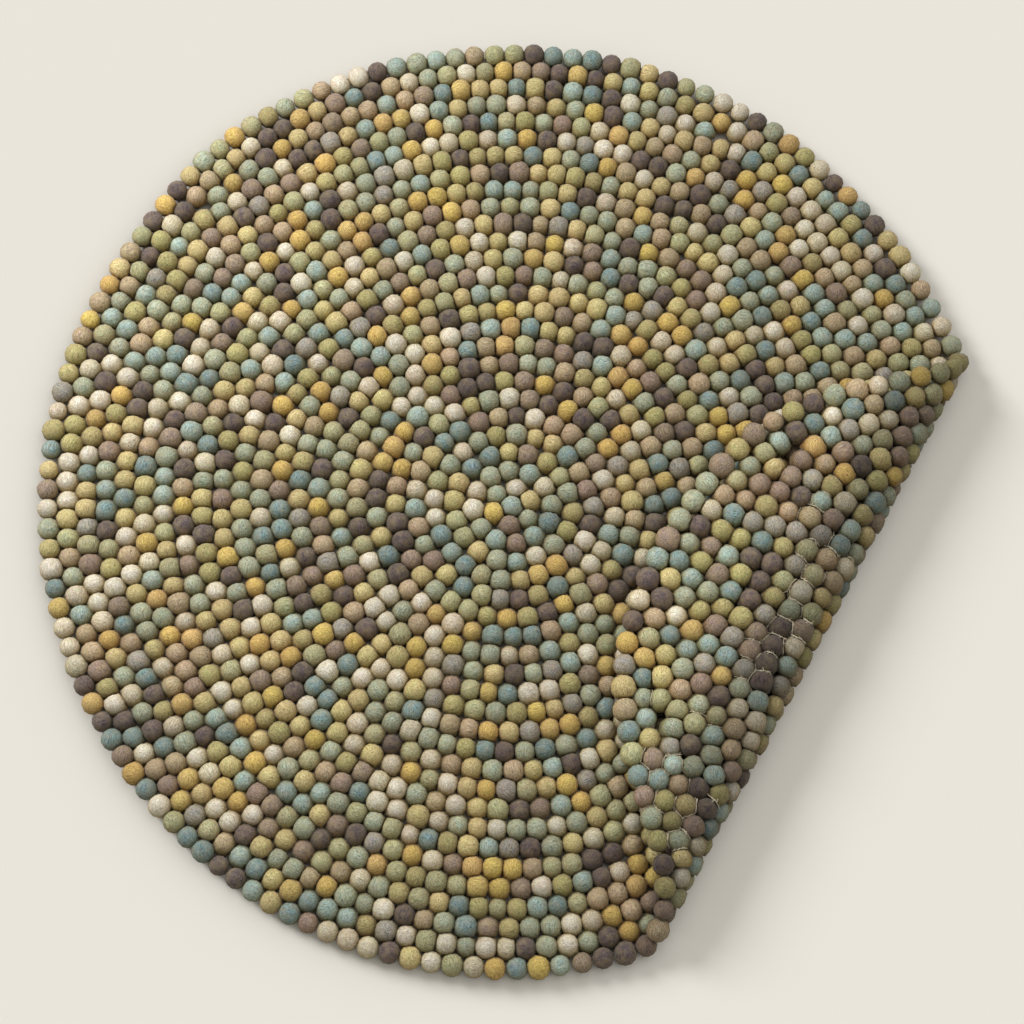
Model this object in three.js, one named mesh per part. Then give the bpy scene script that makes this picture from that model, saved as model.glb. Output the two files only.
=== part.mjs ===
import * as THREE from 'three';

// A round rug of felt balls, sewn side by side in rings around one ball.
// It lies flat, with one edge folded over on top so that its underside shows there.
// Sizes are in millimetres. X points right, Y away from the viewer and Z up.
// The origin is on the floor, under the ball at the centre of the rings.

// The balls
const BALL_ACROSS = 22;
const ROWS = 25;
const BALLS_MORE_PER_ROW = 6;
const HOLLOW_DEPTH = 7.5;
const RIM_BALL_REACH = 10.5;
const RIM_NOTCH_REACH = 3.5;

// A face that lies against the rug itself is pressed almost even.
const PRESSED_DEPTH = 1.5;
const PRESSED_MARGIN = 45;

// The fold, with its sizes taken at the middle of the rug's thickness
const FOLD_TOWARDS = THREE.MathUtils.degToRad(-28.6);
const FOLD_START = 320;
const BEND_RADIUS = 14;
const FLAP_SLOPE = THREE.MathUtils.degToRad(6);
const FLAP_EASE_RADIUS = 120;
const FLAP_LIFT = 23;

// The uneven outline of the rug laid flat: how far the centres of the rim balls lie from the origin,
// by direction in degrees from X. It reaches out most at the edge that is folded over.
const OUTLINE = [
  { towards: -76, reach: 473 },
  { towards: -61, reach: 466 },
  { towards: -50, reach: 492 },
  { towards: -37, reach: 524 },
  { towards: -10, reach: 538 },
  { towards: -1, reach: 525 },
  { towards: 9, reach: 500 },
  { towards: 20, reach: 494 },
  { towards: 42, reach: 497 },
  { towards: 68, reach: 508 },
  { towards: 98, reach: 510 },
  { towards: 128, reach: 508 },
  { towards: 143, reach: 494 },
  { towards: 166, reach: 486 },
  { towards: 190, reach: 477 },
  { towards: 215, reach: 472 },
  { towards: 250, reach: 475 },
];

const FELT = { color: 0x9c9176, roughness: 0.95, metalness: 0 };

const TURN = 2 * Math.PI;
const HALF_BALL = BALL_ACROSS / 2;
const FOLD_OUT = new THREE.Vector2(Math.cos(FOLD_TOWARDS), Math.sin(FOLD_TOWARDS));
const FOLD_ALONG = new THREE.Vector2(-FOLD_OUT.y, FOLD_OUT.x);

// The stretches past the start of the fold: round the bend, down a slope, and level again
const BEND = { turn: Math.PI + FLAP_SLOPE, length: BEND_RADIUS * (Math.PI + FLAP_SLOPE) };
const BEND_LIFT = BEND_RADIUS * (1 + Math.cos(FLAP_SLOPE));
const EASE = { turn: -FLAP_SLOPE, length: FLAP_EASE_RADIUS * FLAP_SLOPE };
const EASE_DROP = FLAP_EASE_RADIUS * (1 - Math.cos(FLAP_SLOPE));
const SLOPE = { turn: 0, length: (BEND_LIFT - FLAP_LIFT - EASE_DROP) / Math.sin(FLAP_SLOPE) };
const FLAP = { turn: 0, length: Infinity };

function outlineKnot(index) {
  const laps = Math.floor(index / OUTLINE.length);
  const { towards, reach } = OUTLINE[index - laps * OUTLINE.length];
  return { towards: towards + 360 * laps, reach };
}

// The outline runs smoothly through its knots, with the slope at each one set by its two neighbours.
function reachTowards(angle) {
  const first = OUTLINE[0].towards;
  const turned = THREE.MathUtils.euclideanModulo(THREE.MathUtils.radToDeg(angle) - first, 360);
  const next = OUTLINE.findIndex(({ towards }) => towards > first + turned);
  const end = next < 0 ? OUTLINE.length : next;
  const [before, from, to, after] = [-2, -1, 0, 1].map((step) => outlineKnot(end + step));
  const span = to.towards - from.towards;
  const share = (first + turned - from.towards) / span;
  const riseOver = (a, b) => (b.reach - a.reach) * span / (b.towards - a.towards);
  const rise = to.reach - from.reach;
  const bow = (1 - share) * (riseOver(before, to) - rise) - share * (riseOver(from, after) - rise);
  return from.reach + share * rise + share * (1 - share) * bow;
}

function moveAlong(place, { length, turn }, distance) {
  const turned = turn * distance / length;
  const chord = turned ? distance * Math.sin(turned / 2) / (turned / 2) : distance;
  const heading = place.heading + turned / 2;
  return {
    out: place.out + chord * Math.cos(heading),
    up: place.up + chord * Math.sin(heading),
    heading: place.heading + turned,
  };
}

// The middle of the thickness, at a distance from the origin measured along the rug and across the fold
function middleAt(distance) {
  let place = { out: Math.min(distance, FOLD_START), up: HALF_BALL, heading: 0 };
  let left = distance - FOLD_START;
  for (const stretch of [BEND, SLOPE, EASE, FLAP]) {
    const step = Math.min(left, stretch.length);
    if (step > 0) place = moveAlong(place, stretch, step);
    left -= step;
  }
  return place;
}

// A point of the flat rug, at a height in its thickness, moved to where it lies once folded
function folded(point, height) {
  const { out, up, heading } = middleAt(point.dot(FOLD_OUT));
  const offset = height - HALF_BALL;
  const flat = FOLD_OUT.clone().multiplyScalar(out - offset * Math.sin(heading));
  flat.addScaledVector(FOLD_ALONG, point.dot(FOLD_ALONG));
  return new THREE.Vector3(flat.x, flat.y, up + offset * Math.cos(heading));
}

const isPastFold = (point) => point.dot(FOLD_OUT) > FOLD_START;

// The flap's level part is the flat rug turned over about a line this far from the origin.
const FLAP_STARTS = FOLD_START + BEND.length + SLOPE.length + EASE.length;
const MIRROR_LINE = (FLAP_STARTS + middleAt(FLAP_STARTS).out) / 2;

function isUnderFlap(point) {
  const above = point.clone().addScaledVector(FOLD_OUT, 2 * (MIRROR_LINE - point.dot(FOLD_OUT)));
  return isPastFold(above) && above.length() < reachTowards(above.angle()) - PRESSED_MARGIN;
}

// The two faces of the rug. The upper one has hollows between its balls, except where it is folded in
// or lies under the flap, and the lower one is even where it rests on the floor.
const UPPER_FACE = {
  looksUp: true,
  isEven: (point) => isPastFold(point) || isUnderFlap(point),
  crest: BALL_ACROSS,
  hollow: BALL_ACROSS - HOLLOW_DEPTH,
  even: BALL_ACROSS - PRESSED_DEPTH,
};
const LOWER_FACE = {
  looksUp: false,
  isEven: (point) => !isPastFold(point),
  crest: 0,
  hollow: HOLLOW_DEPTH,
  even: 0,
};

const polar = (angle, radius) => new THREE.Vector2(Math.cos(angle), Math.sin(angle)).multiplyScalar(radius);

const makePoint = (point, height) => ({ point, place: folded(point, height) });

// A circle of hollows lies between two rows of balls, and circle 0 surrounds the centre ball.
const ballsIn = (row) => BALLS_MORE_PER_ROW * row;
const hollowsIn = (circle) => Math.max(ballsIn(circle + 0.5), BALLS_MORE_PER_ROW);
const shiftOf = (circle) => (circle % 2) / 2;

function makeHollows(circle, face) {
  return Array.from({ length: hollowsIn(circle) }, (_, step) => {
    const angle = TURN * (step + shiftOf(circle)) / hollowsIn(circle);
    const point = polar(angle, reachTowards(angle) * (circle + 0.5) / ROWS);
    return makePoint(point, face.isEven(point) ? face.even : face.hollow);
  });
}

// The rim has a notch before and a bulge at each of its balls, and both faces share it.
function makeRim() {
  return Array.from({ length: 2 * ballsIn(ROWS) }, (_, step) => {
    const angle = TURN * step / (2 * ballsIn(ROWS));
    const past = step % 2 ? RIM_BALL_REACH : RIM_NOTCH_REACH;
    return makePoint(polar(angle, reachTowards(angle) + past), HALF_BALL);
  });
}

// The points of a circle nearest to the two ends of a ball's share of the turn, and those between them
function stretchOf(circle, shift, ball, balls) {
  const [from, to] = [ball, ball + 1].map((end) => Math.round(circle.length * end / balls - shift));
  return Array.from({ length: to - from + 1 }, (_, step) => circle.at((from + step) % circle.length));
}

// The balls of a face, each as its centre on the flat rug and the ring of hollows around it
function makeBalls(face, rim) {
  const circles = Array.from({ length: ROWS }, (_, circle) => makeHollows(circle, face));
  const balls = [{ row: 0, centre: new THREE.Vector2(), ring: circles[0] }];
  for (let row = 1; row <= ROWS; row += 1) {
    const [outer, outerShift] = row < ROWS ? [circles[row], shiftOf(row)] : [rim, 0];
    for (let ball = 0; ball < ballsIn(row); ball += 1) {
      const angle = TURN * (ball + 0.5) / ballsIn(row);
      const inside = stretchOf(circles[row - 1], shiftOf(row - 1), ball, ballsIn(row));
      const outside = stretchOf(outer, outerShift, ball, ballsIn(row));
      const centre = polar(angle, reachTowards(angle) * row / ROWS);
      balls.push({ row, centre, ring: [...outside, ...inside.reverse()] });
    }
  }
  return balls;
}

// Triangles from one point to each edge of a ring that doesn't touch it
function makeFan(tip, ring) {
  const edges = ring.map((from, i) => [from, ring[(i + 1) % ring.length]]);
  return edges.filter((edge) => !edge.includes(tip)).map(([from, to]) => [tip, from, to]);
}

// The edges that only one of the rings has make the outline of the even part, which is one flat face.
function makeEvenFace(rings) {
  const wayOut = new Map(rings.flat().map((point) => [point, new Set()]));
  for (const ring of rings) {
    ring.forEach((from, i) => {
      const to = ring[(i + 1) % ring.length];
      if (!wayOut.get(to).delete(from)) wayOut.get(from).add(to);
    });
  }
  const outline = [[...wayOut.keys()].find((point) => wayOut.get(point).size)];
  for (let [at] = wayOut.get(outline[0]); at !== outline[0]; [at] = wayOut.get(at)) outline.push(at);
  const corners = THREE.ShapeUtils.triangulateShape(outline.map(({ point }) => point), []);
  return corners.map((triangle) => triangle.map((corner) => outline[corner]));
}

function makeFace(face, rim) {
  const triangles = [];
  const resting = [];
  for (const { row, centre, ring } of makeBalls(face, rim)) {
    const isEven = face.isEven(centre);
    if (isEven && face === LOWER_FACE && row < ROWS) resting.push(ring);
    else if (isEven && face === UPPER_FACE) triangles.push(...makeFan(ring[0], ring));
    else triangles.push(...makeFan(makePoint(centre, face.crest), ring));
  }
  if (resting.length) triangles.push(...makeEvenFace(resting));
  return face.looksUp ? triangles : triangles.map((triangle) => triangle.reverse());
}

function makeGeometry(triangles) {
  const numbers = new Map();
  const index = triangles.flat().map((point) => {
    if (!numbers.has(point)) numbers.set(point, numbers.size);
    return numbers.get(point);
  });
  const geometry = new THREE.BufferGeometry();
  geometry.setFromPoints([...numbers.keys()].map(({ place }) => place));
  geometry.setIndex(index);
  geometry.computeVertexNormals();
  return geometry;
}

function makeRug() {
  const rim = makeRim();
  const triangles = [...makeFace(UPPER_FACE, rim), ...makeFace(LOWER_FACE, rim)];
  const rug = new THREE.Mesh(makeGeometry(triangles), new THREE.MeshStandardMaterial(FELT));
  rug.name = 'rug';
  return rug;
}

const model = new THREE.Group();
model.add(makeRug());

export default model;
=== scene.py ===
"""A round rug of felted wool balls sewn in rings. One edge is folded over and shows its underside."""

import math
import random
from collections import namedtuple
from functools import partial

import bmesh
import bpy
from mathutils import Euler, Matrix, Vector, kdtree, noise


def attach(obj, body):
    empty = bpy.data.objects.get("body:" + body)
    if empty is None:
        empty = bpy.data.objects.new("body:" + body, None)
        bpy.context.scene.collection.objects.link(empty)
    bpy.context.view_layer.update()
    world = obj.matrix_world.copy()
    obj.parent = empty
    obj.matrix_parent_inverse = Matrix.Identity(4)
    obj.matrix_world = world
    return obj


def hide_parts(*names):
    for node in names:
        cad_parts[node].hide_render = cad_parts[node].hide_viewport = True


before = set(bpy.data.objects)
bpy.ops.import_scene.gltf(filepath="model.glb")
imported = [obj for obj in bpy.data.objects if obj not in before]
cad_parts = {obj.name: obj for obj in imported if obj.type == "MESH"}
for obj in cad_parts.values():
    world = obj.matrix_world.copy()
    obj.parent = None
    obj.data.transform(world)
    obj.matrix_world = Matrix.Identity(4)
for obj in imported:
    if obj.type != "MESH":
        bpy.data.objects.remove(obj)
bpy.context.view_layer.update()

bl_info = {
    "name": "Felt Ball Rug",
    "version": (1, 0, 0),
    "blender": (4, 5, 0),
    "location": "View3D > Sidebar > Felt Rug",
    "description": "Makes a round rug of felt balls with one edge folded over",
    "category": "Add Mesh",
}

MM = 0.001
RUG_NODE = "rug"
BODY = "root"

# How far the centres of the rim balls lie from the centre ball with the rug laid flat, in metres,
# by direction in degrees from X. It is the solid's outline, but reaches out a little more where the
# edge is folded over, because here the fold is rounder.
OUTLINE = [
    {"towards": -76, "reach": 0.473},
    {"towards": -61, "reach": 0.466},
    {"towards": -50, "reach": 0.494},
    {"towards": -37, "reach": 0.529},
    {"towards": -10, "reach": 0.543},
    {"towards": -1, "reach": 0.530},
    {"towards": 9, "reach": 0.503},
    {"towards": 20, "reach": 0.494},
    {"towards": 42, "reach": 0.497},
    {"towards": 68, "reach": 0.508},
    {"towards": 98, "reach": 0.510},
    {"towards": 128, "reach": 0.508},
    {"towards": 143, "reach": 0.494},
    {"towards": 166, "reach": 0.486},
    {"towards": 190, "reach": 0.477},
    {"towards": 215, "reach": 0.472},
    {"towards": 250, "reach": 0.475},
]

# Rows that run only part of the way round, where the rug reaches out further. Each lies just
# outside the ring it names, between two directions in degrees.
PART_ROWS = [
    {"outside": 13, "start": -60, "end": 158},
    {"outside": 22, "start": -49, "end": -3},
    {"outside": 22, "start": 57, "end": 139},
]

# A part row fades in over this many degrees at its ends, and has balls where it is mostly there.
PART_ROW_TAPER = 9.0
PART_ROW_LEAST = 0.7

# The colours of the felt, with the share of the balls that each one has
FELTS = {
    "charcoal": {"colour": "#564b4c", "share": 10, "flap_share": 13},
    "slate": {"colour": "#6e8487", "share": 7, "flap_share": 8},
    "duck_egg": {"colour": "#8ba09c", "share": 7, "flap_share": 8},
    "grey": {"colour": "#8b8883", "share": 3, "flap_share": 6},
    "sage": {"colour": "#939c89", "share": 12, "flap_share": 13},
    "moss": {"colour": "#9c9c79", "share": 9, "flap_share": 11},
    "olive": {"colour": "#9c9465", "share": 7, "flap_share": 10},
    "lime": {"colour": "#baaa77", "share": 13, "flap_share": 9},
    "mustard": {"colour": "#c1a25a", "share": 7, "flap_share": 3},
    "ochre": {"colour": "#bb9d61", "share": 5, "flap_share": 4},
    "taupe": {"colour": "#837268", "share": 7, "flap_share": 9},
    "tan": {"colour": "#a39077", "share": 9, "flap_share": 9},
    "stone": {"colour": "#c1b7a1", "share": 8, "flap_share": 6},
    "cream": {"colour": "#d0c9b8", "share": 8, "flap_share": 4},
}

# The paler wool that is mixed into every colour
STRAW = "#a99c6e"

# Where sewing thread shows on the folded edge, in metres: along the fold from the origin's foot on
# it, and back from the fold's outer side
STITCHES = [
    (0.150, 0.070), (0.130, 0.080), (0.110, 0.025), (0.105, 0.045), (0.085, 0.055), (0.080, 0.035),
    (0.065, 0.050), (0.045, 0.040), (0.025, 0.035), (0.015, 0.055), (0.000, 0.030), (0.000, 0.045),
    (-0.020, 0.020), (-0.025, 0.060), (-0.025, 0.035), (-0.045, 0.050), (-0.105, 0.060),
    (-0.130, 0.120), (-0.160, 0.095), (-0.175, 0.085), (-0.180, 0.110), (-0.185, 0.070),
    (-0.190, 0.035), (-0.190, 0.065), (-0.200, 0.090), (-0.200, 0.020), (-0.205, 0.060),
    (-0.210, 0.035), (-0.215, 0.040), (-0.215, 0.080),
]

# A ball laid flat is pushed along its row by every other ball nearer than this many spacings.
NESTLE_REACH = 1.25
NESTLE_PASSES = 12
NESTLE_RATE = 0.2

# How much a ball is pressed in where the painted shade between the balls is full, and the
# heights above its middle, in radii, where the painted shade on its lower side begins and is full
SEAM_PRESS = 0.08
SHADE_START = 0.85
SHADE_FULL = -0.25

# How far past the start of the fold the shade of the bend ends, and over what length it fades
BEND_SHADE_END = 0.105
BEND_SHADE_FADE = 0.040

# The rim's balls grow to their size on the folded edge over this length before the fold.
FREE_EDGE_EASE = 0.080

# The underside of a ball begins to widen at its middle, and is widest this many radii below.
SETTLED_DEPTH = 1 / 3

LUMPS_PER_RADIUS = 1.1
BALL_CUTS = 2

# How far apart the balls' places in the wool lie, in metres for each step of a ball's seed
WOOL_STEP = 0.05

FlatBall = namedtuple("FlatBall", "point direction is_rim")
Ball = namedtuple("Ball", "centre axes radius felt tint hue turn seed settle bend")
Crevice = namedtuple("Crevice", "middle across outward rise")


def to_linear(hex_colour):
    """An sRGB hex colour as linear red, green and blue."""
    parts = [int(hex_colour[i:i + 2], 16) / 255 for i in (1, 3, 5)]
    return tuple(c / 12.92 if c <= 0.04045 else ((c + 0.055) / 1.055) ** 2.4 for c in parts)


def clamped(share):
    return min(max(share, 0), 1)


def eased(share):
    """A share that leaves 0 and reaches 1 gently."""
    share = clamped(share)
    return share * share * (3 - 2 * share)


# Settings


class RugShapeSettings(bpy.types.PropertyGroup):
    ball_across: bpy.props.FloatProperty(
        name="Ball diameter", description="Width of one felt ball before it is pressed",
        default=22 * MM, min=10 * MM, max=40 * MM, unit="LENGTH")
    rings: bpy.props.IntProperty(
        name="Rings", description="Closed rings of balls round the centre ball",
        default=24, min=2, max=60)
    ball_spacing: bpy.props.FloatProperty(
        name="Ball spacing", description="From one ball to the next along a ring",
        default=20.5 * MM, min=10 * MM, max=40 * MM, unit="LENGTH")
    ball_rise: bpy.props.FloatProperty(
        name="Ball rise", description="How much a pressed ball bulges upwards",
        default=0.1, min=0, max=0.5, subtype="FACTOR")
    ball_settle: bpy.props.FloatProperty(
        name="Ball settle", description="How much more the lower half of a ball fills its corners",
        default=0.4, min=0, max=0.6, subtype="FACTOR")
    size_spread: bpy.props.FloatProperty(
        name="Size spread", description="How much the balls differ in width",
        default=0.06, min=0, max=0.2, subtype="FACTOR")
    wander: bpy.props.FloatProperty(
        name="Wander", description="How far a ball lies from its even place",
        default=0.35 * MM, min=0, max=4 * MM, unit="LENGTH")
    lumpiness: bpy.props.FloatProperty(
        name="Lumpiness", description="How uneven a ball's own form is",
        default=0.05, min=0, max=0.3, subtype="FACTOR")
    rim_gain: bpy.props.FloatProperty(
        name="Rim gain", description="How much larger the balls of the rim are",
        default=0.04, min=0, max=0.5, subtype="FACTOR")
    free_edge_gain: bpy.props.FloatProperty(
        name="Free edge gain", description="How much larger the rim's balls are from the fold on",
        default=0.1, min=0, max=0.5, subtype="FACTOR")
    flap_gain: bpy.props.FloatProperty(
        name="Flap gain", description="How much larger the balls are towards the folded edge's rim",
        default=0.05, min=0, max=0.5, subtype="FACTOR")
    bend_shrink: bpy.props.FloatProperty(
        name="Bend shrink", description="How much smaller a ball is where the bend squeezes it",
        default=0.04, min=0, max=1, subtype="FACTOR")
    bend_flatness: bpy.props.FloatProperty(
        name="Bend flatness", description="How much a ball is flattened on the bend's outside",
        default=0.25, min=0, max=0.5, subtype="FACTOR")
    seed: bpy.props.IntProperty(
        name="Seed", description="Chooses the colours and the unevenness", default=7, min=0)


class RugFoldSettings(bpy.types.PropertyGroup):
    towards: bpy.props.FloatProperty(
        name="Towards", description="Direction in which the rug runs into the fold",
        default=math.radians(-28.6), subtype="ANGLE")
    start: bpy.props.FloatProperty(
        name="Start", description="From the centre ball to where the rug leaves the floor",
        default=328 * MM, min=0, unit="LENGTH")
    lower_radius: bpy.props.FloatProperty(
        name="Lower radius", description="Radius of the bend's lower half, mid-thickness",
        default=10 * MM, min=5 * MM, unit="LENGTH")
    upper_radius: bpy.props.FloatProperty(
        name="Upper radius", description="Radius of the bend's upper half, mid-thickness",
        default=26.5 * MM, min=5 * MM, unit="LENGTH")
    slope: bpy.props.FloatProperty(
        name="Slope", description="How steeply the folded edge comes down behind the bend",
        default=math.radians(8), min=math.radians(1), subtype="ANGLE")
    ease_radius: bpy.props.FloatProperty(
        name="Ease radius", description="Radius with which the folded edge turns level again",
        default=120 * MM, min=0, unit="LENGTH")
    lift: bpy.props.FloatProperty(
        name="Lift", description="Height of the folded edge's middle above the base's middle",
        default=23 * MM, min=0, unit="LENGTH")


class FeltSettings(bpy.types.PropertyGroup):
    patch_size: bpy.props.FloatProperty(
        name="Patch size", description="Width of the patches where another wool is mixed in",
        default=7 * MM, min=0.2 * MM, unit="LENGTH")
    fibre_size: bpy.props.FloatProperty(
        name="Fibre size", description="Width of the matted fibres that show",
        default=1.0 * MM, min=0.1 * MM, unit="LENGTH")
    lump_size: bpy.props.FloatProperty(
        name="Lump size", description="Width of the soft dents in a ball",
        default=4 * MM, min=1 * MM, unit="LENGTH")
    roughness: bpy.props.FloatProperty(
        name="Roughness", description="Roughness of wool felt",
        default=0.95, min=0, max=1, subtype="FACTOR")
    tint_spread: bpy.props.FloatProperty(
        name="Tint spread", description="How much balls of one colour differ in brightness",
        default=0.12, min=0, max=0.5, subtype="FACTOR")
    hue_spread: bpy.props.FloatProperty(
        name="Hue spread", description="How much balls of one colour differ in hue",
        default=0.01, min=0, max=0.1, subtype="FACTOR")
    mottle: bpy.props.FloatProperty(
        name="Mottle", description="How much the wool changes colour within one ball",
        default=0.07, min=0, max=1, subtype="FACTOR")
    # Painted shade: the wool is drawn darker and warmer down between the balls and on their lower
    # sides, where shade falls and the light there has bounced off the wool.
    seam_shade: bpy.props.FloatProperty(
        name="Seam shade", description="How much darker the wool looks down between the balls",
        default=0.55, min=0, max=1, subtype="FACTOR")
    painted_shade_colour: bpy.props.FloatVectorProperty(
        name="Seam colour", description="Colour that light has taken on down between the balls",
        default=to_linear("#e0c462"), size=3, min=0, max=1, subtype="COLOR")
    # Painted light, not paler wool: the balls of the folded edge are drawn paler, standing in for the
    # light that falls on them.
    underside_painted_light: bpy.props.FloatProperty(
        name="Underside gain", description="How much paler the unworn wool of the underside is",
        default=0.27, min=0, max=1, subtype="FACTOR")
    bend_shade: bpy.props.FloatProperty(
        name="Bend shade", description="How much darker the wool looks on the bend and beside it",
        default=0.52, min=0, max=1, subtype="FACTOR")


class ThreadSettings(bpy.types.PropertyGroup):
    thickness: bpy.props.FloatProperty(
        name="Thickness", description="Width of the sewing thread, which has two plies",
        default=1.1 * MM, min=0.2 * MM, unit="LENGTH")
    stitch_length: bpy.props.FloatProperty(
        name="Stitch length", description="Length of thread that shows between two balls",
        default=19 * MM, min=1 * MM, unit="LENGTH")
    kink: bpy.props.FloatProperty(
        name="Kink", description="How uneven the path of each ply is",
        default=0.35 * MM, min=0, unit="LENGTH")
    lift: bpy.props.FloatProperty(
        name="Lift", description="How far a stitch stands off the two balls that it lies between",
        default=1.5 * MM, min=0, unit="LENGTH")
    fray_length: bpy.props.FloatProperty(
        name="Fray length", description="Length of the frays that stand out from a stitch",
        default=6 * MM, min=0, unit="LENGTH")
    fray_thickness: bpy.props.FloatProperty(
        name="Fray thickness", description="Width of the frays that stand out from a stitch",
        default=0.4 * MM, min=0.05 * MM, unit="LENGTH")
    colour: bpy.props.FloatVectorProperty(
        name="Thread colour", description="Colour of the undyed thread",
        default=to_linear("#dcd2ba"), size=3, min=0, max=1, subtype="COLOR")


class StudioSettings(bpy.types.PropertyGroup):
    camera_distance: bpy.props.FloatProperty(
        name="Camera distance", description="From the camera to the middle of the rug",
        default=2.9, min=0.5, unit="LENGTH")
    camera_towards: bpy.props.FloatProperty(
        name="Camera direction", description="Direction in which the camera stands, from X",
        default=math.radians(-90), subtype="ANGLE")
    camera_elevation: bpy.props.FloatProperty(
        name="Camera elevation", description="Angle of the camera above the floor",
        default=math.radians(74), subtype="ANGLE")
    camera_aim: bpy.props.FloatVectorProperty(
        name="Camera aim", description="Point of the rug that the camera looks at",
        default=(0, -5.5 * MM, 11 * MM), size=3, subtype="TRANSLATION")
    focal_length: bpy.props.FloatProperty(
        name="Focal length", description="Focal length of the lens in mm, on a sensor 36 mm wide",
        default=98.6, min=10)
    window_strength: bpy.props.FloatProperty(
        name="Window", description="Strength of the window near the rug's far left side, in watts",
        default=24, min=0)
    window_width: bpy.props.FloatProperty(
        name="Window width", description="Width and height of the window",
        default=0.9, min=0.01, unit="LENGTH")
    window_distance: bpy.props.FloatProperty(
        name="Window distance", description="From the window to the middle of the rug",
        default=1.5, min=0.8, unit="LENGTH")
    window_towards: bpy.props.FloatProperty(
        name="Window direction", description="Direction in which the window lies, from X",
        default=math.radians(142), subtype="ANGLE")
    window_elevation: bpy.props.FloatProperty(
        name="Window elevation", description="Angle of the window above the floor",
        default=math.radians(42), subtype="ANGLE")
    key_strength: bpy.props.FloatProperty(
        name="Key light", description="Strength of the light that casts the rug's shadow",
        default=2.4, min=0)
    key_width: bpy.props.FloatProperty(
        name="Key width", description="Angle that the key light fills, as seen from the rug",
        default=math.radians(23), subtype="ANGLE")
    key_towards: bpy.props.FloatProperty(
        name="Key direction", description="Direction in which the key light stands, from X",
        default=math.radians(146), subtype="ANGLE")
    key_elevation: bpy.props.FloatProperty(
        name="Key elevation", description="Angle of the key light above the floor",
        default=math.radians(28.5), subtype="ANGLE")
    sky_strength: bpy.props.FloatProperty(
        name="Sky light", description="Strength of the very wide light from behind the rug",
        default=1.15, min=0)
    sky_width: bpy.props.FloatProperty(
        name="Sky width", description="Angle that the very wide light fills, as seen from the rug",
        default=math.radians(85), subtype="ANGLE")
    sky_towards: bpy.props.FloatProperty(
        name="Sky direction", description="Direction in which the very wide light stands, from X",
        default=math.radians(38), subtype="ANGLE")
    sky_elevation: bpy.props.FloatProperty(
        name="Sky elevation", description="Angle of the very wide light above the floor",
        default=math.radians(48), subtype="ANGLE")
    fill_strength: bpy.props.FloatProperty(
        name="Fill light", description="Strength of the even light from all round",
        default=0.37, min=0)
    light_colour: bpy.props.FloatVectorProperty(
        name="Light colour", description="Colour of the daylight from one side",
        default=to_linear("#fffcf8"), size=3, min=0, max=1, subtype="COLOR")
    fill_colour: bpy.props.FloatVectorProperty(
        name="Fill colour", description="Colour of the even light from all round",
        default=to_linear("#fffaee"), size=3, min=0, max=1, subtype="COLOR")
    floor_reach: bpy.props.FloatProperty(
        name="Floor reach", description="From the middle of the floor to its sides",
        default=6, min=1, unit="LENGTH")
    floor_colour: bpy.props.FloatVectorProperty(
        name="Floor", description="Colour of the floor",
        default=to_linear("#e9e8e4"), size=3, min=0, max=1, subtype="COLOR")


class FeltRugSettings(bpy.types.PropertyGroup):
    shape: bpy.props.PointerProperty(type=RugShapeSettings)
    fold: bpy.props.PointerProperty(type=RugFoldSettings)
    felt: bpy.props.PointerProperty(type=FeltSettings)
    thread: bpy.props.PointerProperty(type=ThreadSettings)
    studio: bpy.props.PointerProperty(type=StudioSettings)


# The rug laid flat


def outline_knot(index):
    laps, index = divmod(index, len(OUTLINE))
    knot = OUTLINE[index]
    return knot["towards"] + 360 * laps, knot["reach"]


def reach_towards(degrees):
    """How far the rim lies from the centre in a direction, smoothly through the outline's knots."""
    first = OUTLINE[0]["towards"]
    degrees = first + (degrees - first) % 360
    end = next((i for i, knot in enumerate(OUTLINE) if knot["towards"] > degrees), len(OUTLINE))
    (before, low), (start, reach), (stop, next_reach), (after, high) = (
        outline_knot(end + step) for step in (-2, -1, 0, 1))
    span = stop - start
    share = (degrees - start) / span
    rise = next_reach - reach
    leaving = (next_reach - low) * span / (stop - before) - rise
    arriving = (high - reach) * span / (after - start) - rise
    return reach + share * rise + share * (1 - share) * ((1 - share) * leaving - share * arriving)


def presence(part_row, degrees):
    """1 where a part row is fully there, falling to 0 past its ends."""
    start, end = part_row["start"], part_row["end"]
    degrees = start + (degrees - start + 90) % 360 - 90
    return eased(min(degrees - start, end - degrees) / PART_ROW_TAPER)


def rank_of_ring(ring, degrees):
    """How many rows lie between the centre and a ring in a direction, itself included."""
    return ring + sum(presence(row, degrees) for row in PART_ROWS if row["outside"] < ring)


def rank_of_part_row(part_row, degrees):
    inner = rank_of_ring(part_row["outside"], degrees)
    return inner + (1 + presence(part_row, degrees)) / 2


def flat_point(rank, rings, degrees):
    radius = reach_towards(degrees) * rank / rank_of_ring(rings, degrees)
    angle = math.radians(degrees)
    return Vector((radius * math.cos(angle), radius * math.sin(angle)))


def space_out(points, spacing_at, start):
    """Places along a line of points, as far apart as spacing_at says, as (point, direction)."""
    runs = [0.0]
    for a, b in zip(points, points[1:]):
        runs.append(runs[-1] + (b - a).length / spacing_at((a + b) / 2))
    count = round(runs[-1])
    places = []
    segment = 0
    for i in range(count):
        run = (i + start) * runs[-1] / count
        while runs[segment + 1] < run:
            segment += 1
        a, b = points[segment], points[segment + 1]
        share = (run - runs[segment]) / (runs[segment + 1] - runs[segment])
        places.append((a.lerp(b, share), (b - a).normalized()))
    return places


def past_fold(point, settings):
    fold = settings.fold
    return point.dot(Vector((math.cos(fold.towards), math.sin(fold.towards)))) - fold.start


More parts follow.
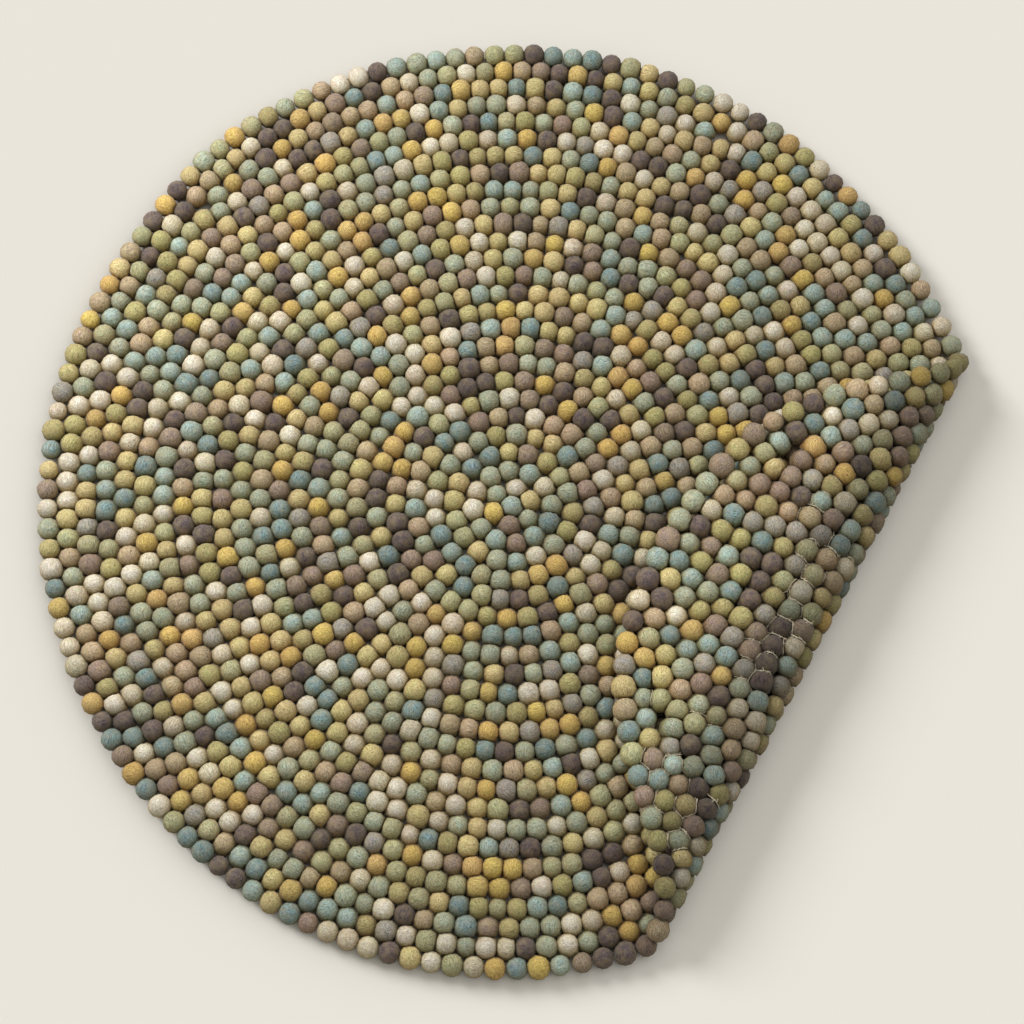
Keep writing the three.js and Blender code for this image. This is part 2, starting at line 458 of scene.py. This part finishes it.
def ball_gain(point, is_rim, settings):
    """How much larger a ball is than the usual one, for its place in the rug."""
    shape = settings.shape
    past = past_fold(point, settings)
    flap_depth = reach_towards(0) - settings.fold.start
    freed = clamped(1 + past / FREE_EDGE_EASE)
    rim_gain = shape.rim_gain + (shape.free_edge_gain - shape.rim_gain) * freed
    return 1 + rim_gain * is_rim + shape.flap_gain * clamped(past / flap_depth)


def make_row(rank_at, first, last, is_rim, start, settings):
    """The balls of a row that runs between two whole directions in degrees."""
    rings = settings.shape.rings
    angles = [first + half / 2 for half in range(2 * (last - first) + 1)]
    points = [flat_point(rank_at(angle), rings, angle) for angle in angles]

    def spacing_at(point):
        return settings.shape.ball_spacing * ball_gain(point, is_rim, settings)

    return [FlatBall(point, direction, is_rim)
            for point, direction in space_out(points, spacing_at, start)]


def tree_of(points):
    """The points, arranged so that those near a place are quick to find."""
    tree = kdtree.KDTree(len(points))
    for index, point in enumerate(points):
        tree.insert(point.to_3d(), index)
    tree.balance()
    return tree


def nestle(balls, settings):
    """Slides the balls along their rows until most of them sit in the gaps of the rows beside
    theirs, as sewn balls do."""
    reach = NESTLE_REACH * settings.shape.ball_spacing
    for _ in range(NESTLE_PASSES):
        tree = tree_of([ball.point for ball in balls])
        moved = []
        for ball in balls:
            push = Vector((0, 0, 0))
            for place, _, distance in tree.find_range(ball.point.to_3d(), reach):
                if distance > 0:
                    push += (ball.point.to_3d() - place) * (reach / distance - 1)
            slide = push.to_2d().dot(ball.direction) * NESTLE_RATE
            moved.append(ball._replace(point=ball.point + ball.direction * slide))
        balls = moved
    return balls


def lay_out_flat(settings, chance):
    """The balls of the rug laid flat, row by row from its centre ball."""
    rings = settings.shape.rings
    balls = [FlatBall(Vector((0, 0)), Vector((1, 0)), False)]
    for ring in range(1, rings + 1):
        balls += make_row(
            partial(rank_of_ring, ring), 0, 360, ring == rings, chance.random(), settings)
    for row in PART_ROWS:
        there = [angle for angle in range(row["start"], row["end"])
                 if presence(row, angle) > PART_ROW_LEAST]
        balls += make_row(
            partial(rank_of_part_row, row), there[0], there[-1], False, 0.5, settings)
    return nestle(balls, settings)


# The fold


def stretches_of_fold(fold):
    """The stretches past the start of the fold, as (length, turn): the two halves of the bend, the
    slope, its ease and the rest of the folded edge."""
    lower_turn = math.pi / 2
    upper_turn = lower_turn + fold.slope
    bend_lift = fold.lower_radius + fold.upper_radius * math.cos(fold.slope)
    ease_drop = fold.ease_radius * (1 - math.cos(fold.slope))
    return [
        (fold.lower_radius * lower_turn, lower_turn),
        (fold.upper_radius * upper_turn, upper_turn),
        ((bend_lift - fold.lift - ease_drop) / math.sin(fold.slope), 0.0),
        (fold.ease_radius * fold.slope, -fold.slope),
        (math.inf, 0.0),
    ]


def folded_frame(point, settings):
    """Where a point at the middle of the flat rug's thickness lies once folded, with the rug's own
    directions there: out across the fold, along it, and towards the rug's upper side."""
    fold = settings.fold
    across = Vector((math.cos(fold.towards), math.sin(fold.towards)))
    along = Vector((-across.y, across.x))
    distance = point.dot(across)
    out, up, heading = min(distance, fold.start), settings.shape.ball_across / 2, 0.0
    left = distance - fold.start
    for length, turn in stretches_of_fold(fold):
        if left <= 0:
            break
        step = min(left, length)
        turned = turn * step / length if turn else 0.0
        chord = step * math.sin(turned / 2) / (turned / 2) if turned else step
        out += chord * math.cos(heading + turned / 2)
        up += chord * math.sin(heading + turned / 2)
        heading += turned
        left -= step
    flat = across * out + along * point.dot(along)
    outward = Vector((*across * math.cos(heading), math.sin(heading)))
    upper_side = Vector((*across * -math.sin(heading), math.cos(heading)))
    return Vector((*flat, up)), Matrix((outward, Vector((*along, 0.0)), upper_side)).transposed()


def share_beside_bend(point, settings):
    """1 for a ball on the bend or in the first rows of the folded edge, falling to 0 past them."""
    depth = past_fold(point, settings)
    return eased((BEND_SHADE_END - depth) / BEND_SHADE_FADE) * (depth > 0)


def share_in_bend(point, settings):
    """1 for a ball that lies in the bend, falling to 0 within half a ball past its ends."""
    length = sum(stretch for stretch, _ in stretches_of_fold(settings.fold)[:2])
    depth = past_fold(point, settings)
    return clamped(min(depth, length - depth) / settings.shape.ball_across + 0.5)


# The balls


def make_ball(flat, settings, chance):
    """A ball of the flat rug in its place once folded, with its colour and its own unevenness."""
    shape, felt = settings.shape, settings.felt
    wander = [chance.gauss(0, shape.wander) for _ in range(3)]
    sideways = Vector((-flat.direction.y, flat.direction.x))
    moved = flat.point + flat.direction * wander[0] + sideways * wander[1]
    middle, directions = folded_frame(moved, settings)
    bend = share_in_bend(moved, settings)
    row_turn = math.atan2(flat.direction.y, flat.direction.x) - settings.fold.towards
    spread = max(-2, min(2, chance.gauss(0, 1))) * shape.size_spread
    size = (1 + spread) * (1 - shape.bend_shrink * bend)
    is_underside = past_fold(flat.point, settings) > 0
    shares = [wool["flap_share" if is_underside else "share"] for wool in FELTS.values()]
    # Painted light and shade: the folded edge's balls are drawn paler, and those on and beside the
    # bend darker, where shade falls.
    brightness = (1 + felt.underside_painted_light * is_underside) * (
        1 - felt.bend_shade * share_beside_bend(moved, settings))
    return Ball(
        centre=middle + directions.col[2] * wander[2],
        axes=directions @ Matrix.Rotation(row_turn, 3, "Z"),
        radius=shape.ball_across / 2 * ball_gain(flat.point, flat.is_rim, settings) * size,
        felt=chance.choices(list(FELTS), shares)[0],
        tint=brightness * (1 + chance.uniform(-1, 1) * felt.tint_spread),
        hue=chance.uniform(-1, 1),
        turn=Euler([chance.uniform(0, 2 * math.pi) for _ in range(3)]).to_matrix(),
        seed=chance.uniform(0, 100),
        settle=0 if flat.is_rim else shape.ball_settle,
        bend=bend)


def lay_out_balls(settings):
    """Every ball of the rug, folded into place."""
    chance = random.Random(settings.shape.seed)
    return [make_ball(flat, settings, chance) for flat in lay_out_flat(settings, chance)]


def contacts_of(ball, balls, tree):
    """The flat places where a ball is pressed: (direction, distance from its centre)."""
    contacts = [(Vector((0, 0, -1)), ball.centre.z)]
    for _, index, distance in tree.find_range(ball.centre, ball.radius * 2):
        other = balls[index]
        if other is not ball:
            share = ball.radius / (ball.radius + other.radius)
            contacts.append(((other.centre - ball.centre) / distance, distance * share))
    return contacts


def make_round_ball():
    """A ball of radius 1 with evenly spread faces."""
    ball = bmesh.new()
    bmesh.ops.create_cube(ball, size=2)
    bmesh.ops.subdivide_edges(ball, edges=ball.edges[:], cuts=BALL_CUTS, use_grid_fill=True)
    for vert in ball.verts:
        evened = [math.tan(c * math.pi / 4) for c in vert.co]
        vert.co = Vector(evened).normalized()
    mesh = bpy.data.meshes.new("round_ball")
    ball.to_mesh(mesh)
    ball.free()
    return mesh


def press_ball(verts, ball, contacts, shape):
    """Swells a round ball to its size in its place and presses it flat against what it touches.
    Gives back, for each point, its painted shade from 0 to 1: it grows where the ball is pressed
    against what it touches and towards the ball's lower side, where shade falls."""
    painted_shades = []
    flattened = 1 - shape.bend_flatness * ball.bend
    for vert in verts:
        lump = noise.noise(vert.co * LUMPS_PER_RADIUS + Vector((ball.seed, 0, 0)))
        grown = vert.co * ball.radius * (1 + shape.lumpiness * lump)
        height = (ball.axes @ vert.co).z
        width = 1 + ball.settle * clamped(-height / SETTLED_DEPTH)
        rise = (1 + shape.ball_rise) * (flattened if grown.z < 0 else 1)
        swollen = Vector((grown.x * width, grown.y * width, grown.z * rise))
        offset = ball.axes @ swollen
        free = offset.length
        for towards, distance in contacts:
            reach = offset.dot(towards)
            if reach > distance:
                offset *= distance / reach
        vert.co = ball.centre + offset
        # Painted shade: full where the ball is pressed in, and on its lower side.
        pressed = (1 - offset.length / free) / SEAM_PRESS
        lower_side_shade = (SHADE_START - height) / (SHADE_START - SHADE_FULL)
        painted_shades.append(clamped(max(pressed, lower_side_shade)))
    return painted_shades


def make_felt_piece(felt, balls, tree, round_ball, settings):
    """All the balls of one colour, as one mesh."""
    bunch = bmesh.new()
    tint = bunch.verts.layers.float.new("tint")
    hue = bunch.verts.layers.float.new("hue")
    painted_shade = bunch.verts.layers.float.new("painted_shade")
    wool_place = bunch.verts.layers.float_vector.new("wool_place")
    for ball in balls:
        if ball.felt != felt:
            continue
        made = len(bunch.verts)
        bunch.from_mesh(round_ball)
        bunch.verts.ensure_lookup_table()
        verts = bunch.verts[made:]
        shift = Vector((ball.seed * WOOL_STEP, 0, 0))
        for vert in verts:
            vert[tint] = ball.tint
            vert[hue] = ball.hue
            vert[wool_place] = ball.turn @ vert.co * ball.radius + shift
        contacts = contacts_of(ball, balls, tree)
        # Painted shade for each point, from how far the ball is pressed in there and how low on it it
        # lies.
        painted_shades = press_ball(verts, ball, contacts, settings.shape)
        for vert, depth in zip(verts, painted_shades):
            vert[painted_shade] = depth
    return finish_piece(f"balls_{felt}", bunch)


def finish_piece(name, shape):
    """Turns a bmesh into a smooth object of the scene, with its faces pointing outwards."""
    bmesh.ops.recalc_face_normals(shape, faces=shape.faces[:])
    for face in shape.faces:
        face.smooth = True
    mesh = bpy.data.meshes.new(name)
    shape.to_mesh(mesh)
    shape.free()
    piece = bpy.data.objects.new(name, mesh)
    bpy.context.scene.collection.objects.link(piece)
    return piece


# The sewing threads

# The folded edge's balls are upside down, so their upper side points down at least this much.
UPSIDE_DOWN = -0.5
STITCHES_TOGETHER = 2
PLIES = 2
STITCH_STEPS = 8
STRAND_SIDES = 6

# Loose fibres are far finer than a fray and would not show, so each fray stands for a few of them.
FRAYS = 7
FRAY_STEPS = 3

# How far a stitch's ends dip between the balls, and how much its plies turn about each other
STITCH_DIP = 6 * MM
PLY_TURN = math.radians(200)


def find_crevices(balls):
    """Where two balls of the folded edge touch, on the side of it that shows."""
    shown = [ball for ball in balls if ball.axes.col[2].z < UPSIDE_DOWN]
    tree = tree_of([ball.centre for ball in shown])
    crevices = []
    for index, ball in enumerate(shown):
        for place, other_index, distance in tree.find_range(ball.centre, 2 * ball.radius):
            if other_index <= index:
                continue
            other = shown[other_index]
            across = (place - ball.centre) / distance
            reach = distance * ball.radius / (ball.radius + other.radius)
            outward = -(ball.axes.col[2] + other.axes.col[2])
            outward = (outward - across * outward.dot(across)).normalized()
            rise = math.sqrt(max(ball.radius ** 2 - reach ** 2, 0))
            crevices.append(Crevice(ball.centre + across * reach, across, outward, rise))
    return crevices


def crevices_near(stitch, crevices, settings):
    """The crevices nearest to where a stitch shows, nearest first."""
    fold = settings.fold
    along, back = stitch
    outer_side = fold.start + fold.lower_radius + settings.shape.ball_across / 2
    place = Matrix.Rotation(fold.towards, 2) @ Vector((outer_side - back, along))
    return sorted(crevices, key=lambda crevice: (crevice.middle.to_2d() - place).length)


def draw_strand(threads, points, thickness):
    """A round strand along points, closed at both ends."""
    edges, last_place = None, None
    for before, point, after in zip([points[0], *points], points, [*points[1:], points[-1]]):
        heading = (after - before).to_track_quat("Z", "Y").to_matrix().to_4x4()
        place = Matrix.Translation(point) @ heading
        if edges is None:
            verts = bmesh.ops.create_circle(
                threads, cap_ends=True, segments=STRAND_SIDES, radius=thickness / 2,
                matrix=place)["verts"]
        else:
            made = bmesh.ops.extrude_edge_only(threads, edges=edges)["geom"]
            verts = [part for part in made if isinstance(part, bmesh.types.BMVert)]
            bmesh.ops.transform(threads, matrix=place @ last_place.inverted(), verts=verts)
        edges = [edge for edge in {edge for vert in verts for edge in vert.link_edges}
                 if all(vert in verts for vert in edge.verts)]
        last_place = place
    bmesh.ops.contextual_create(threads, geom=edges)


def sew_stitch(threads, crevice, settings, chance):
    """A stitch of two plies down into the crevice between two balls, with a few loose fibres."""
    thread = settings.thread
    along = crevice.outward.cross(crevice.across)
    bow = chance.uniform(-1, 1) * thread.thickness
    half_length = thread.stitch_length / 2 * chance.uniform(0.6, 1.1)
    phase = chance.uniform(0, math.pi)

    def middle_at(share):
        rise = crevice.rise + thread.lift - STITCH_DIP * share * share
        return (crevice.middle + along * (share * half_length) + crevice.outward * rise
                + crevice.across * (bow * (1 - share * share)))

    shares = [2 * step / STITCH_STEPS - 1 for step in range(STITCH_STEPS + 1)]
    for ply in range(PLIES):
        points = []
        for share in shares:
            angle = phase + ply * math.pi + share * PLY_TURN
            aside = crevice.across * math.cos(angle) + crevice.outward * math.sin(angle)
            kink = Vector([chance.gauss(0, thread.kink) for _ in range(3)])
            points.append(middle_at(share) + aside * (thread.thickness / 4) + kink)
        draw_strand(threads, points, thread.thickness / 2)
    for _ in range(FRAYS):
        start = middle_at(chance.uniform(-0.9, 0.9))
        length = thread.fray_length * chance.uniform(0.5, 1)
        leaving = (along * chance.gauss(0, 1) + crevice.across * chance.gauss(0, 0.6)
                   + crevice.outward * chance.uniform(0, 0.6)).normalized()
        curling = crevice.across * chance.uniform(-0.5, 0.5) - crevice.outward * 0.4
        points = [start + (leaving * share + curling * share * share) * length
                  for share in (step / FRAY_STEPS for step in range(FRAY_STEPS + 1))]
        draw_strand(threads, points, thread.fray_thickness)


# Materials

# A Mix node's colours share their names with its numbers, so they are known by their places.
MIX_FIRST = 6
MIX_SECOND = 7
MIX_RESULT = 2


def add_node(tree, kind, inputs=None, **settings):
    """A node with its settings, and each input set to a value or linked to another's output."""
    node = tree.nodes.new(kind)
    for name, value in settings.items():
        setattr(node, name, value)
    for name, value in (inputs or {}).items():
        if isinstance(value, bpy.types.NodeSocket):
            tree.links.new(value, node.inputs[name])
        else:
            node.inputs[name].default_value = value
    return node


def new_material(name):
    material = bpy.data.materials.new(name)
    material.use_nodes = True
    tree = material.node_tree
    shader = next(node for node in tree.nodes if node.type == "BSDF_PRINCIPLED")
    return material, tree, shader


def make_felt_material(felt, settings):
    """Wet-rolled wool felt: dull and matted, with lighter and darker fibres and a soft bloom."""
    finish = settings.felt
    colour = to_linear(FELTS[felt]["colour"])
    material, tree, shader = new_material(f"wool_felt_{felt}")
    wool = add_node(tree, "ShaderNodeAttribute", attribute_name="wool_place").outputs["Vector"]
    drawn_out = add_node(tree, "ShaderNodeMapping", {"Vector": wool, "Scale": (1.0, 1.0, 0.22)})

    # Wool fibres are far finer than this and would not show, so tufts of them are drawn instead.
    strands = add_node(tree, "ShaderNodeTexNoise", {
        "Vector": drawn_out.outputs["Vector"], "Scale": 1 / finish.fibre_size, "Detail": 3.0,
        "Roughness": 0.6, "Distortion": 1.2})
    patches = add_node(tree, "ShaderNodeTexNoise", {
        "Vector": wool, "Scale": 1 / finish.patch_size, "Detail": 1.0})
    lumps = add_node(tree, "ShaderNodeTexNoise", {
        "Vector": wool, "Scale": 1 / finish.lump_size, "Detail": 1.0})

    blend = add_node(tree, "ShaderNodeMapRange", {
        "Value": strands.outputs["Fac"], "From Min": 0.34, "From Max": 0.66})
    fibres = add_node(tree, "ShaderNodeMix", {
        "Factor": blend.outputs["Result"],
        MIX_FIRST: (*(part * (0.34 + 0.25 * part) for part in colour), 1.0),
        MIX_SECOND: (*(1 - (1 - part) ** 2 for part in colour), 1.0)}, data_type="RGBA")
    patch_share = add_node(tree, "ShaderNodeMapRange", {
        "Value": patches.outputs["Fac"], "From Min": 0.35, "From Max": 0.8, "To Max": 0.3})
    patched = add_node(tree, "ShaderNodeMix", {
        "Factor": patch_share.outputs["Result"], MIX_FIRST: fibres.outputs[MIX_RESULT],
        MIX_SECOND: (*to_linear(STRAW), 1.0)}, data_type="RGBA")
    mottled = add_node(tree, "ShaderNodeMix", {
        "Factor": finish.mottle, MIX_FIRST: patched.outputs[MIX_RESULT],
        MIX_SECOND: patches.outputs["Color"]}, data_type="RGBA", blend_type="OVERLAY")

    # Painted shade: the wool is warmed and darkened down between the balls and on their lower sides.
    # Each ball's tone, read below, also carries painted light on the folded edge and painted shade on
    # the bend.
    painted_shade = add_node(tree, "ShaderNodeAttribute", attribute_name="painted_shade")
    painted_shade_tint = add_node(tree, "ShaderNodeMix", {
        "Factor": painted_shade.outputs["Fac"], MIX_FIRST: (1.0, 1.0, 1.0, 1.0),
        MIX_SECOND: (*finish.painted_shade_colour, 1.0)}, data_type="RGBA")
    tinted = add_node(tree, "ShaderNodeMix", {
        "Factor": 1.0, MIX_FIRST: mottled.outputs[MIX_RESULT],
        MIX_SECOND: painted_shade_tint.outputs[MIX_RESULT]}, data_type="RGBA", blend_type="MULTIPLY")
    depth = add_node(tree, "ShaderNodeMath", {
        0: painted_shade.outputs["Fac"], 1: 2.0}, operation="POWER")
    shaded = add_node(tree, "ShaderNodeMapRange", {
        "Value": depth.outputs["Value"], "To Min": 1.0, "To Max": 1 - finish.seam_shade})
    tint = add_node(tree, "ShaderNodeAttribute", attribute_name="tint")
    value = add_node(tree, "ShaderNodeMath", {
        0: tint.outputs["Fac"], 1: shaded.outputs["Result"]}, operation="MULTIPLY")
    hue = add_node(tree, "ShaderNodeAttribute", attribute_name="hue")
    hue_shift = add_node(tree, "ShaderNodeMath", {
        0: hue.outputs["Fac"], 1: finish.hue_spread, 2: 0.5}, operation="MULTIPLY_ADD")
    coloured = add_node(tree, "ShaderNodeHueSaturation", {
        "Color": tinted.outputs[MIX_RESULT], "Hue": hue_shift.outputs["Value"],
        "Value": value.outputs["Value"]})
    tree.links.new(coloured.outputs["Color"], shader.inputs["Base Color"])

    soft = add_node(tree, "ShaderNodeBump", {
        "Height": lumps.outputs["Fac"], "Strength": 0.6, "Distance": 1.2 * MM})
    matted = add_node(tree, "ShaderNodeBump", {
        "Height": strands.outputs["Fac"], "Strength": 1.0, "Distance": 0.8 * MM,
        "Normal": soft.outputs["Normal"]})
    tree.links.new(matted.outputs["Normal"], shader.inputs["Normal"])

    shader.inputs["Roughness"].default_value = finish.roughness
    shader.inputs["Specular IOR Level"].default_value = 0.15
    shader.inputs["IOR"].default_value = 1.5
    shader.inputs["Sheen Weight"].default_value = 0.18
    shader.inputs["Sheen Roughness"].default_value = 0.5
    return material


def make_thread_material(thread):
    """Undyed spun cotton: pale and dull, with slubs a little lighter and darker than the rest."""
    material, tree, shader = new_material("spun_cotton")
    place = add_node(tree, "ShaderNodeTexCoord").outputs["Object"]
    slubs = add_node(tree, "ShaderNodeTexNoise", {
        "Vector": place, "Scale": 1 / (8 * MM), "Detail": 3.0})
    colour = Vector(thread.colour)
    spun = add_node(tree, "ShaderNodeMix", {
        "Factor": slubs.outputs["Fac"], MIX_FIRST: (*colour * 0.35, 1.0),
        MIX_SECOND: (*(min(1.0, 1.4 * part) for part in colour), 1.0)}, data_type="RGBA")
    tree.links.new(spun.outputs[MIX_RESULT], shader.inputs["Base Color"])
    shader.inputs["Roughness"].default_value = 0.9
    shader.inputs["Specular IOR Level"].default_value = 0.2
    shader.inputs["Sheen Weight"].default_value = 0.2
    return material


def make_floor_material(studio):
    """Matt painted floor: pale, even and without shine."""
    material, _, shader = new_material("matt_floor_paint")
    shader.inputs["Base Color"].default_value = (*studio.floor_colour, 1.0)
    shader.inputs["Roughness"].default_value = 0.9
    shader.inputs["Specular IOR Level"].default_value = 0.1
    return material


# Making the rug and its surroundings


class FELTRUG_OT_balls(bpy.types.Operator):
    """Make the felt balls, one piece for each colour of felt"""

    bl_idname = "feltrug.balls"
    bl_label = "Felt Balls"

    def execute(self, context):
        settings = context.scene.felt_rug
        balls = lay_out_balls(settings)
        tree = tree_of([ball.centre for ball in balls])
        round_ball = make_round_ball()
        for felt in FELTS:
            piece = make_felt_piece(felt, balls, tree, round_ball, settings)
            piece.data.materials.append(make_felt_material(felt, settings))
            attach(piece, BODY)
            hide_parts(RUG_NODE)
        bpy.data.meshes.remove(round_ball)
        return {"FINISHED"}


class FELTRUG_OT_threads(bpy.types.Operator):
    """Make the sewing threads that show on the folded edge"""

    bl_idname = "feltrug.threads"
    bl_label = "Sewing Threads"

    def execute(self, context):
        settings = context.scene.felt_rug
        chance = random.Random(settings.shape.seed)
        crevices = find_crevices(lay_out_balls(settings))
        threads = bmesh.new()
        for stitch in STITCHES:
            for crevice in crevices_near(stitch, crevices, settings)[:STITCHES_TOGETHER]:
                crevices.remove(crevice)
                sew_stitch(threads, crevice, settings, chance)
        piece = finish_piece("sewing_threads", threads)
        piece.data.materials.append(make_thread_material(settings.thread))
        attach(piece, BODY)
        return {"FINISHED"}


def place_light(light, away):
    """A lamp that shines from a place back towards the origin."""
    lamp = bpy.data.objects.new(light.name, light)
    lamp.location = away
    lamp.rotation_mode = "QUATERNION"
    lamp.rotation_quaternion = away.to_track_quat("Z", "Y")
    bpy.context.scene.collection.objects.link(lamp)
    return lamp


def point_towards(towards, elevation, distance=1.0):
    """The point at a distance from the origin, by its direction from X and its elevation."""
    level = Vector((math.cos(towards), math.sin(towards), 0)) * math.cos(elevation)
    return (level + Vector((0, 0, math.sin(elevation)))) * distance


def light_only(lamp, pieces):
    """Keeps a lamp's light to some of the pieces. Every piece still casts its shadow in it."""
    lit = bpy.data.collections.new(f"lit_by_{lamp.name}")
    for piece in pieces:
        lit.objects.link(piece)
    lamp.light_linking.receiver_collection = lit


class FELTRUG_OT_studio(bpy.types.Operator):
    """Make the floor, the lights and the camera"""

    bl_idname = "feltrug.studio"
    bl_label = "Studio"

    def execute(self, context):
        scene = context.scene
        studio = scene.felt_rug.studio
        rug = [piece for piece in scene.objects if piece.type == "MESH"]
        shape = bmesh.new()
        bmesh.ops.create_grid(shape, x_segments=1, y_segments=1, size=studio.floor_reach)
        floor = finish_piece("floor", shape)
        floor.data.materials.append(make_floor_material(studio))

        key = bpy.data.lights.new("key", "SUN")
        key.angle = studio.key_width
        key.energy = studio.key_strength
        sky = bpy.data.lights.new("sky", "SUN")
        sky.angle = studio.sky_width
        sky.energy = studio.sky_strength
        window = bpy.data.lights.new("window", "AREA")
        window.size = studio.window_width
        window.energy = studio.window_strength
        for light in (key, sky, window):
            light.color = studio.light_colour

        # The window fades across the rug, as in the photo, whose floor is lit evenly.
        key_lamp = place_light(key, point_towards(studio.key_towards, studio.key_elevation))
        light_only(key_lamp, [floor])
        place_light(sky, point_towards(studio.sky_towards, studio.sky_elevation))
        window_lamp = place_light(window, point_towards(
            studio.window_towards, studio.window_elevation, studio.window_distance))
        light_only(window_lamp, rug)

        world = bpy.data.worlds.new("studio")
        world.use_nodes = True
        background = world.node_tree.nodes["Background"]
        background.inputs["Color"].default_value = (*studio.fill_colour, 1)
        background.inputs["Strength"].default_value = studio.fill_strength
        scene.world = world

        lens = bpy.data.cameras.new("camera")
        lens.sensor_width = 36
        lens.lens = studio.focal_length
        camera = bpy.data.objects.new("camera", lens)
        away = point_towards(
            studio.camera_towards, studio.camera_elevation, studio.camera_distance)
        camera.location = Vector(studio.camera_aim) + away
        camera.rotation_mode = "QUATERNION"
        camera.rotation_quaternion = away.to_track_quat("Z", "Y")
        scene.collection.objects.link(camera)
        scene.camera = camera
        scene.view_settings.view_transform = "Standard"
        return {"FINISHED"}


class FELTRUG_PT_panel(bpy.types.Panel):
    """Settings and steps of the felt ball rug"""

    bl_idname = "FELTRUG_PT_panel"
    bl_label = "Felt Ball Rug"
    bl_space_type = "VIEW_3D"
    bl_region_type = "UI"
    bl_category = "Felt Rug"

    def draw(self, context):
        settings = context.scene.felt_rug
        groups = (
            settings.shape, settings.fold, settings.felt, settings.thread, settings.studio)
        for group in groups:
            box = self.layout.box()
            for name in group.__annotations__:
                box.prop(group, name)
        for operator in STEPS:
            self.layout.operator(operator.bl_idname)


STEPS = (FELTRUG_OT_balls, FELTRUG_OT_threads, FELTRUG_OT_studio)
CLASSES = (
    RugShapeSettings, RugFoldSettings, FeltSettings, ThreadSettings, StudioSettings,
    FeltRugSettings, *STEPS, FELTRUG_PT_panel,
)


def register():
    for one_class in CLASSES:
        bpy.utils.register_class(one_class)
    bpy.types.Scene.felt_rug = bpy.props.PointerProperty(type=FeltRugSettings)


def unregister():
    del bpy.types.Scene.felt_rug
    for one_class in reversed(CLASSES):
        bpy.utils.unregister_class(one_class)


def main():
    register()
    bpy.ops.feltrug.balls()
    bpy.ops.feltrug.threads()
    bpy.ops.feltrug.studio()


if __name__ == "__main__":
    main()
